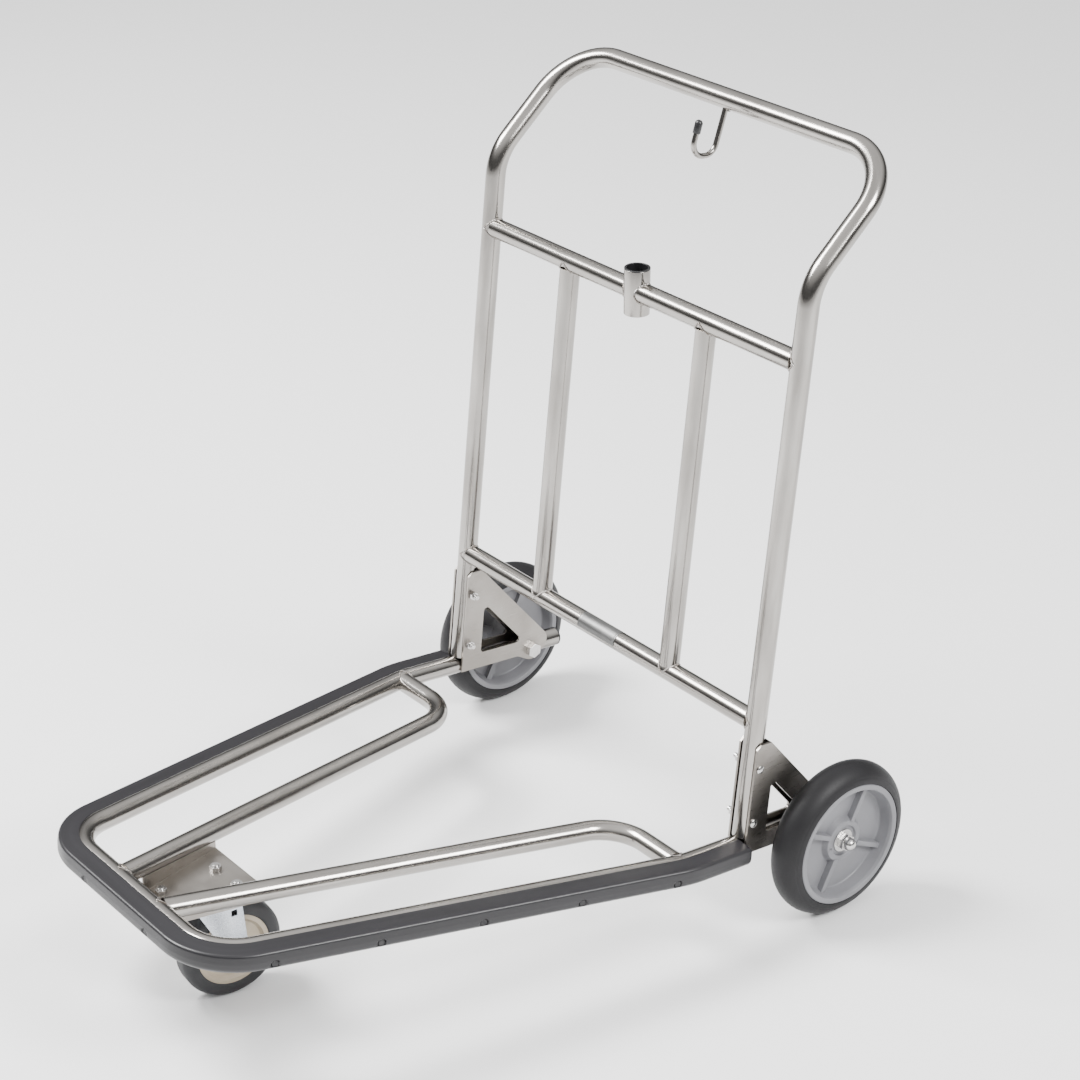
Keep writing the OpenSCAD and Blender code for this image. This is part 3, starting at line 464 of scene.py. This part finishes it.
def plate_grid():
    """Points on both skins of the curved plate: tube radius + height, at an angle
    that runs round the tube, where the height rises by a step in the border."""
    x = np.linspace(plate_low.x, plate_high.x, 83)
    a = np.linspace(plate_start, plate_start + plate_sweep, 41)
    edge_x = np.minimum(x - x[0], x[-1] - x)[:, None]
    edge_a = (np.minimum(a - a[0], a[-1] - a) * tube_r)[None, :]
    edge = np.minimum(edge_x, edge_a)
    rim = plate_t - 0.0003 * np.clip((edge - border) / 0.0004, 0, 1)
    rim = np.where(edge <= 0, plate_t - 0.0002, rim)
    top_r = tube_r + fit_gap + rim
    low_r = np.full_like(top_r, tube_r + fit_gap)
    radius = np.concatenate([low_r[:, ::-1], top_r], axis=1)
    angle = np.concatenate([a[::-1], a])[None, :] * np.ones((len(x), 1))
    radius = np.concatenate([radius, radius[:, :1]], axis=1)
    angle = np.concatenate([angle, angle[:, :1]], axis=1)
    return np.stack([x[:, None] * np.ones_like(angle), back - radius * np.cos(angle),
                     low_bar + radius * np.sin(angle)], -1)


plate_finish = surface("satin_plate", (0.15, 0.15, 0.148), (0.21, 0.21, 0.207), (0.35, 0.5),
                       (30, 30, 30), (25, 900, 900), 0.15, metallic=1.0)
plate = grid_mesh("plain_name_plate", leaning(plate_grid()))
fit(plate, plate_finish, "cart_frame", "plain_plate", "name_plate")

# ------------------------------------------------------------- tube end plugs
# Black ribbed plastic plugs, pushed into the platform tube's two rear ends. Each
# has a domed cap a little rounder than the tube's own end.
tube_wall = 0.0016
plug_in = tube_r - tube_wall
plug_depth = 0.014
plug_head = 0.003
crown_rise = 0.0012
t = np.linspace(0, np.pi / 2, 7)
crown = np.column_stack([plug_in + tube_wall * np.cos(t),
                         plug_head - crown_rise + crown_rise * np.sin(t)])
profile = np.vstack([[[0, -plug_depth], [plug_in, -plug_depth], [plug_in, fit_gap],
                      [tube_r, fit_gap]], crown, [[0, plug_head]]])
for word, sign in (("left", -1), ("right", 1)):
    plug = lathe(f"{word}_tube_end_plug", profile, leaning([sign * half_w, tube_end, 0]),
                 turn_back @ rear, 64, closed=False)
    nodes = ("tube_end_plugs",) if sign > 0 else ()
    fit(plug, black_plastic, "cart_frame", "black_plastic", *nodes)

# --------------------------------------------------------------------- bumper
# One length of dark rubber extrusion, hooked over the outside of the platform
# tube. Its screws sit in moulded sinks, so nothing hard stands proud of it.
bumper_out = 0.031
bumper_top = 0.010
bumper_low = 0.014
bracket_lap = 0.008
bumper_gap = 0.0014
bumper_end = back - bracket_lap - bumper_gap
lip_angle = math.radians(62)
screw_sink = 0.0042
screw_drop = 0.006
sink_r = 0.0052
sink_wall = 0.0011
side_screws = 5
first_screw = 0.035
screw_reach = 0.855
nose_screw_gap = 0.130
end_round = 0.0035
end_shrink = 0.3


def crisp_copy(node, name, width):
    """A copy of a CAD node with its loose triangles merged, its flat faces made
    whole and its sharp edges broken by a narrow rounded bevel."""
    sharp_edge = math.radians(32)
    mesh = frame["nodes"][node].data.copy()
    work = bmesh.new()
    work.from_mesh(mesh)
    bmesh.ops.remove_doubles(work, verts=work.verts, dist=merge_within)
    bmesh.ops.dissolve_limit(work, angle_limit=math.radians(0.4), verts=work.verts, edges=work.edges)
    bmesh.ops.recalc_face_normals(work, faces=work.faces)
    work.to_mesh(mesh)
    work.free()
    mesh.name = name
    piece = bpy.data.objects.new(name, mesh)
    bpy.context.scene.collection.objects.link(piece)
    mesh.polygons.foreach_set("use_smooth", np.ones(len(mesh.polygons), bool))
    mesh.set_sharp_from_angle(angle=sharp_edge)
    bevel = piece.modifiers.new("edge", "BEVEL")
    bevel.width = width
    bevel.segments = 2
    bevel.limit_method = "ANGLE"
    bevel.angle_limit = sharp_edge
    bevel.harden_normals = True
    return piece


def bumper_section():
    """Closed outline, as (out, up) from the tube's centre: a flat underside, a
    large round up to the widest point, a slightly bowed face, a smaller round,
    and a top that falls in to a thin lip on the tube, which the rest hugs."""
    hug = tube_r + 0.00008
    t = np.linspace(lip_angle, math.radians(-68), 17)
    hollow = hug * np.column_stack([np.cos(t), np.sin(t)])
    lip = (hug + 0.0004) * np.array([math.cos(lip_angle), math.sin(lip_angle)])
    outer = rounded([(0.0044, -bumper_low, 0.0009), (bumper_out - 0.0006, -bumper_low, 0.0085),
                     (bumper_out, -0.0010, 0.012), (bumper_out - 0.0010, bumper_top, 0.0040),
                     (lip[0], lip[1], 0.0003)], 10)
    outline = np.vstack([outer, hollow])
    fine = [outline[:1]]
    for start, end in zip(outline, np.vstack([outline[1:], outline[:1]])):
        count = max(int(np.linalg.norm(end - start) / 0.0009), 1)
        fine.append(start + np.linspace(0, 1, count + 1)[1:, None] * (end - start))
    return np.vstack(fine)


def along_side(share):
    """A place on the tapered side, share of the way from its bend to the nose."""
    return np.array([half_w - (half_w - nose_half) * share, taper_at + (nose_at - taper_at) * share])


screw_places = []
taper_angle = math.atan(taper)
outward = np.array([math.cos(taper_angle), -math.sin(taper_angle)])
for k in range(side_screws):
    place = along_side(first_screw + k * screw_reach / (side_screws - 1))
    for sign in (-1, 1):
        screw_places.append((place * [sign, 1], outward * [sign, 1]))
screw_places += [(np.array([k * nose_screw_gap / 2, nose_at]), np.array([0.0, -1.0]))
                 for k in (-1, 1)]

bumper_corners = [list(c) for c in ring_corners]
bumper_corners[0][1] = bumper_corners[-1][1] = bumper_end
bumper_line = bent_line(bumper_corners, ring_radii, 0.002)
run = lengths(bumper_line)
near_end = np.array([0, 0.0004, 0.001, 0.002, end_round])
even = np.unique(np.concatenate([np.linspace(0, run[-1], 900), near_end, run[-1] - near_end]))
bumper_line = np.column_stack([np.interp(even, run, bumper_line[:, k]) for k in range(3)])
outline = bumper_section()
round_end = np.clip(np.minimum(even, run[-1] - even) / end_round, 0, 1)
shrink = 1 - end_shrink * (1 - np.sqrt(1 - (1 - round_end) ** 2))
centre = np.array([0.022, -0.002])
section = centre + (outline - centre) * shrink[:, None, None]
bumper_grid = swept_grid(bumper_line, section, np.array([0, 0, 1.0]))
for place, outward in screw_places:
    off = bumper_grid[..., :2] - (place + outward * bumper_out)
    depth = off @ outward
    height = bumper_grid[..., 2] + screw_drop
    beside_axis = np.sqrt(np.sum(off**2, axis=-1) - depth**2 + height**2)
    outer = np.clip((depth + 0.006) / 0.002, 0, 1)
    wall = np.clip((sink_r - beside_axis) / sink_wall, 0, 1)
    bumper_grid[..., :2] -= (screw_sink * outer * wall)[..., None] * outward
bumper = grid_mesh("rubber_bumper", leaning(bumper_grid), even, lengths(outline), sharp=50)
bumper_rubber = surface("bumper_rubber", (0.0085, 0.0080, 0.0095), (0.0130, 0.0122, 0.0145), (0.30, 0.42),
                        (6, 90, 1), (120, 1900, 1), 0.22, "UV", sockets={"Specular IOR Level": 0.45})
fit(bumper, bumper_rubber, "cart_frame", "bumper_rubber", "bumper")

black_oxide = surface("black_oxide_steel", (0.020, 0.020, 0.022), (0.045, 0.044, 0.045), (0.35, 0.50),
                      (150, 150, 150), (900, 900, 900), 0.2, metallic=0.6)
fit(crisp_copy("bumper_screws", "bumper_pan_screws", 0.0003), black_oxide, "cart_frame",
    "plated_fasteners", "bumper_screws")

# ------------------------------------------------------------- brackets, screws
# Folded stainless gussets that tie each upright to the platform tube and the
# axle. Their sheared edges are broken, and they carry a fine brushed grain.
edge_break = 0.0006


def crisp(node, name, material, width, slot, body="cart_frame"):
    """A crisp copy of a CAD node, finished and put in that node's place."""
    return fit(crisp_copy(node, name, width), material, body, slot, node)


brushed_sheet = surface("brushed_sheet", (0.26, 0.24, 0.218), (0.36, 0.338, 0.314), (0.26, 0.40),
                        (8, 14, 14), (40, 40, 1500), 0.16, metallic=1.0)
bright_plating = surface("bright_plating", (0.48, 0.47, 0.46), (0.62, 0.61, 0.60), (0.14, 0.26),
                         (90, 90, 90), (900, 900, 900), 0.12, metallic=1.0)
for word in ("left", "right"):
    crisp(f"{word}_bracket", f"{word}_gusset_bracket", brushed_sheet, edge_break, "stainless_sheet")
for node, name in (("bracket_screws", "bracket_button_screws"), ("bracket_nuts", "bracket_lock_nuts"),
                   ("left_axle_bolt", "left_axle_hex_bolt"),
                   ("right_axle_bolt", "right_axle_hex_bolt"), ("axle_spacers", "axle_spacer_sleeves"),
                   ("axle_washers", "axle_flat_washers"), ("axle_nuts", "axle_dome_nuts"),
                   ("caster_bolts", "caster_hex_bolts"), ("caster_nuts", "caster_lock_nuts")):
    crisp(node, name, bright_plating, 0.0004, "plated_fasteners")

# ---------------------------------------------------------------- rear wheels
# Soft grey-black rubber tyres moulded on grey plastic wheels. Each wheel has a
# flat rim, a recessed web with four ribs, and a boss with a bush and a grease hole.
wheel_r = axle[2]
wheel_half = (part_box("right_tyre")[1].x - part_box("right_tyre")[0].x) / 2
rim_r = 0.080
ribs = 4
rib_turn = math.radians(62)
tyre_rubber = surface("tyre_rubber", (0.0055, 0.0052, 0.0062), (0.0090, 0.0085, 0.0098), (0.46, 0.60),
                      (14, 14, 14), (700, 700, 700), 0.22, sockets={"Specular IOR Level": 0.3})
wheel_plastic = surface("wheel_plastic", (0.150, 0.150, 0.160), (0.185, 0.185, 0.197), (0.38, 0.48),
                        (16, 16, 16), (1100, 1100, 1100), 0.14)
nylon = surface("natural_nylon", (0.55, 0.54, 0.50), (0.66, 0.65, 0.61), (0.35, 0.5),
                (40, 40, 40), (900, 900, 900), 0.15)
depth = wheel_r - rim_r
arc_r = (wheel_half**2 + depth**2) / (2 * depth)
arc_at = wheel_r - arc_r
boss_r = 0.027
bearing_r = 0.010
grease_r = boss_r - 0.0045
grease_turn = math.radians(190)
grease_hole_r = 0.0022
grease_depth = 0.004
hub_in = upright_axes(middle("right_hub"))[0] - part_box("right_bearing")[0].x
hub_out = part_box("right_bearing")[1].x - upright_axes(middle("right_hub"))[0]


def tyre_profile():
    """(radius, place) round the tyre: one arc of the tread, with a shallow mould
    line each side, closed by the flat seat on the wheel's rim."""
    seat = rim_r + fit_gap
    limit = math.acos((seat + 0.0008 - arc_at) / arc_r)
    a = np.linspace(-limit, limit, 73)
    dip = 0.00035 * np.exp(-(((np.abs(a) - 1.12) / 0.022) ** 2))
    tread = np.column_stack([arc_at + (arc_r - dip) * np.cos(a), (arc_r - dip) * np.sin(a)])
    foot = wheel_half - 0.0012
    return np.vstack([[[seat, -foot]], tread, [[seat, foot]]])


def hub_profile():
    """(radius, place) round the wheel's section: rim, dished web and boss."""
    half = wheel_half
    side = [(rim_r, half - 0.0008, 0.0006), (rim_r - 0.0012, half, 0.0006),
            (rim_r - 0.0070, half - 0.0006, 0.0012), (rim_r - 0.0088, half - 0.0045, 0.0008),
            (rim_r - 0.0125, 0.0050, 0.0028), (boss_r + 0.0040, 0.0045, 0.0015),
            (boss_r, hub_out - 0.0002, 0.0012), (boss_r - 0.0066, hub_out, 0.0006),
            (boss_r - 0.0082, hub_out - 0.0025, 0.0006),
            (bearing_r + fit_gap, hub_out - 0.0025, 0)]
    inner = [(bearing_r + fit_gap, -hub_in + 0.0008, 0), (bearing_r + 0.0012, -hub_in, 0.0005),
             (boss_r - 0.0020, -hub_in, 0.0012), (boss_r + 0.0045, -0.0065, 0.0020),
             (rim_r - 0.0125, -0.0052, 0.0028), (rim_r - 0.0088, -half + 0.0045, 0.0008),
             (rim_r - 0.0070, -half + 0.0006, 0.0012), (rim_r - 0.0012, -half, 0.0006),
             (rim_r, -half + 0.0008, 0.0006)]
    outline = rounded(side + inner, 5)
    ring = np.abs(outline[:, 0] - grease_r) < 0.004
    at = int(np.flatnonzero(ring & (outline[:, 1] > 0))[-1])
    steps = np.linspace(0, 1, 9)[:, None]
    face = outline[at - 1] + steps * (outline[at] - outline[at - 1])
    return np.vstack([outline[:at], face[1:-1], outline[at:]])


def sink_grease_hole(hub, hub_at, outward):
    """Pushes the points of the boss's outer face that lie within the hole's
    radius straight in: depth x clip((radius - distance from its axis) / 0.5 mm)."""
    points = np.empty(len(hub.data.vertices) * 3)
    hub.data.vertices.foreach_get("co", points)
    points = points.reshape(-1, 3)
    spot = hub_at + grease_r * np.array([0, math.cos(grease_turn), math.sin(grease_turn)])
    distance = np.linalg.norm((points - spot)[:, 1:], axis=1)
    on_face = (points - hub_at) @ outward > hub_out - 0.0006
    inside = np.clip((grease_hole_r - distance) / 0.0005, 0, 1)
    points -= (grease_depth * inside * on_face)[:, None] * outward
    hub.data.vertices.foreach_set("co", points.ravel())
    hub.data.update()


def rib_grid(angle, sign):
    """One rib: a bar from the boss to the rim, whose height above the web is
    level near the boss and whose width narrows towards its top (draft)."""
    r = np.linspace(boss_r - 0.001, rim_r - 0.0095, 30)[:, None]
    outline = rounded([(-0.0044, -0.0125, 0), (0.0044, -0.0125, 0), (0.0033, 0.0125, 0.0009),
                       (-0.0033, 0.0125, 0.0009)], 4)
    outline = np.vstack([outline, outline[:1]])
    width, height = outline[:, 0][None, :], outline[:, 1][None, :]
    height = np.where(height < 0, -0.0125, np.where(height > 0.01, height + 0.0005, height))
    y = r * math.cos(angle) - width * math.sin(angle)
    z = r * math.sin(angle) + width * math.cos(angle)
    return np.stack([sign * (height + 0 * r), y, z], -1)


for word, sign in (("left", -1), ("right", 1)):
    hub_at = np.array(joints[f"{word}_wheel_spin"]["pos_m"])
    outward = np.array([sign, 0.0, 0.0])
    tyre = lathe(f"{word}_rubber_tyre", tyre_profile(), hub_at, outward, 160)
    fit(tyre, tyre_rubber, f"{word}_wheel", "wheel_tyre", f"{word}_tyre")
    hub = lathe(f"{word}_wheel_hub", hub_profile(), hub_at, outward, 200)
    sink_grease_hole(hub, hub_at, outward)
    fit(hub, wheel_plastic, f"{word}_wheel", "wheel_plastic", f"{word}_hub")
    for k in range(ribs):
        angle = rib_turn + k * 2 * math.pi / ribs
        rib = grid_mesh(f"{word}_wheel_rib_{k + 1}", rib_grid(angle, sign) + hub_at)
        fit(rib, wheel_plastic, f"{word}_wheel", "wheel_plastic")
    crisp(f"{word}_bearing", f"{word}_wheel_bush", nylon, 0.0003, "bearing_nylon", f"{word}_wheel")

# --------------------------------------------------------------------- caster
# A five-inch swivel caster in bright zinc, bolted under a folded stainless plate.
# The wheel is dark rubber on a beige nylon core, and runs on a sleeve.
fork_at = np.array(joints["caster_wheel_spin"]["pos_m"])
spin_axis = np.array(joints["caster_wheel_spin"]["axis"])
swivel_at = np.array(joints["caster_turn"]["pos_m"])
caster_half = 0.016
caster_core_r = 0.046
caster_r = fork_at[2]
bright_zinc = surface("bright_zinc", (0.50, 0.54, 0.60), (0.68, 0.71, 0.76), (0.20, 0.34),
                      (35, 35, 35), (500, 500, 500), 0.15, metallic=1.0)
caster_rubber = surface("caster_rubber", (0.022, 0.022, 0.0235), (0.032, 0.032, 0.034), (0.5, 0.62),
                        (30, 30, 30), (900, 900, 900), 0.2, sockets={"Specular IOR Level": 0.35})
caster_core = surface("caster_core", (0.33, 0.275, 0.20), (0.41, 0.35, 0.265), (0.42, 0.55),
                      (40, 40, 40), (900, 900, 900), 0.15)
crisp("caster_mount_plate", "caster_folded_plate", brushed_sheet, edge_break, "stainless_sheet")
for node, name, body, width in (
        ("caster_top_plate", "caster_fixed_plate", "cart_frame", 0.0006),
        ("caster_kingpin", "caster_riveted_kingpin", "cart_frame", 0.0005),
        ("caster_fork", "caster_pressed_fork", "caster_swivel", 0.0008),
        ("caster_axle", "caster_axle_bolt", "caster_swivel", 0.0004),
        ("caster_axle_nut", "caster_axle_lock_nut", "caster_swivel", 0.0004),
        ("caster_sleeve", "caster_axle_sleeve", "caster_swivel", 0.0003)):
    crisp(node, name, bright_zinc, width, "zinc_plate", body)
race_low, race_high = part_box("caster_race")
race_r = (race_high.x - race_low.x) / 2
race_h = race_high.z - race_low.z
race_profile = rounded([(0.0062, 0, 0), (race_r - 0.004, 0, 0.001), (race_r, race_h * 0.38, 0.0022),
                        (race_r - 0.0035, race_h * 0.6, 0.0008), (race_r - 0.003, race_h, 0.0008),
                        (0.0062, race_h, 0)], 5)
race = lathe("caster_ball_race", race_profile, [0, swivel_at[1], race_low.z], (0, 0, 1), 96)
fit(race, bright_zinc, "cart_frame", "zinc_plate", "caster_race")
tread = rounded([(caster_core_r + fit_gap, -caster_half + 0.001, 0),
                 (caster_core_r + 0.002, -caster_half, 0.0008), (caster_r, -caster_half, 0.009),
                 (caster_r, caster_half, 0.009), (caster_core_r + 0.002, caster_half, 0.0008),
                 (caster_core_r + fit_gap, caster_half - 0.001, 0)], 8)
caster_tyre = lathe("caster_rubber_tyre", tread, fork_at, spin_axis, 128)
fit(caster_tyre, caster_rubber, "caster_wheel", "caster_rubber", "caster_tyre")
core_boss = 0.0192
core_side = [(caster_core_r, caster_half - 0.001, 0.0005), (0.0405, caster_half - 0.001, 0.0008),
             (0.0370, caster_half - 0.0055, 0.0020), (0.0195, caster_half - 0.0055, 0.0020),
             (0.0160, core_boss, 0.0010), (0.00955, core_boss, 0)]
core = rounded(core_side + [(r, -x, f) for r, x, f in core_side[::-1]], 5)
core_piece = lathe("caster_nylon_core", core, fork_at, spin_axis, 128)
fit(core_piece, caster_core, "caster_wheel", "caster_core", "caster_hub")
crisp("caster_bush", "caster_wheel_bush", nylon, 0.0003, "bearing_nylon", "caster_wheel")

# --------------------------------------------------------------- floor, lights
# A plain pale studio floor under a broad white sky, with two large soft lamps.
# The sky is darker near the horizon, so that polished tube has something to show.
floor_mesh = bpy.data.meshes.new("studio_floor")
floor_mesh.from_pydata([(-30, -30, 0), (30, -30, 0), (30, 30, 0), (-30, 30, 0)], [], [(0, 1, 2, 3)])
floor = bpy.data.objects.new("studio_floor", floor_mesh)
bpy.context.scene.collection.objects.link(floor)
floor_paper = surface("floor_paper", (0.86, 0.86, 0.86), (0.88, 0.88, 0.88), (0.8, 0.9),
                      (0.5, 0.5, 0.5), (60, 60, 60), 0.02)
floor.data.materials.append(floor_paper)

world = bpy.data.worlds.new("studio")
bpy.context.scene.world = world
world.use_nodes = True
sky = world.node_tree
direction = sky.nodes.new("ShaderNodeTexCoord")
split = sky.nodes.new("ShaderNodeSeparateXYZ")
sky_ramp = sky.nodes.new("ShaderNodeValToRGB")
sky.links.new(direction.outputs["Generated"], split.inputs["Vector"])
sky.links.new(split.outputs["Z"], sky_ramp.inputs["Fac"])
sky.links.new(sky_ramp.outputs["Color"], sky.nodes["Background"].inputs["Color"])
stops = sky_ramp.color_ramp.elements
stops[0].position, stops[0].color = 0.0, (0.05, 0.05, 0.05, 1)
stops[1].position, stops[1].color = 0.75, (1.0, 1.0, 1.0, 1)
middle_stop = stops.new(0.30)
middle_stop.color = (0.12, 0.12, 0.12, 1)
sky.nodes["Background"].inputs["Strength"].default_value = 1.5


def soft_lamp(name, place, aim, size, power):
    """A square soft lamp at a place, turned to face the aim point."""
    lamp = bpy.data.lights.new(name, "AREA")
    lamp.shape = "SQUARE"
    lamp.size = size
    lamp.energy = power
    holder = bpy.data.objects.new(name, lamp)
    bpy.context.scene.collection.objects.link(holder)
    holder.location = place
    holder.rotation_euler = (Vector(aim) - Vector(place)).to_track_quat("-Z", "Y").to_euler()


soft_lamp("key_softbox", (-2.0, -1.6, 3.6), (0, 0, 0.3), 1.8, 430)
soft_lamp("fill_softbox", (3.2, 1.0, 3.0), (0, 0, 0.3), 1.4, 230)

# --------------------------------------------------------------------- camera
# The view is from in front and to the right, a little above the handle.
view_centre_to_axle = 0.11384
view_angle = math.radians(23.37)
ahead_of_axle = np.array([0, axle[1] - view_centre_to_axle, 0])
camera_at = Vector(np.array([2.1786, -1.8444, 1.8838]) + ahead_of_axle)
camera_aim = Vector(np.array([-0.1048, 0.0, 0.3708]) + ahead_of_axle)
lens = bpy.data.cameras.new("studio_camera")
lens.sensor_width = 36
lens.lens = lens.sensor_width / 2 / math.tan(view_angle / 2)
lens.clip_end = 100
camera = bpy.data.objects.new("studio_camera", lens)
bpy.context.scene.collection.objects.link(camera)
camera.location = camera_at
camera.rotation_euler = (camera_aim - camera_at).to_track_quat("-Z", "Y").to_euler()
bpy.context.scene.camera = camera
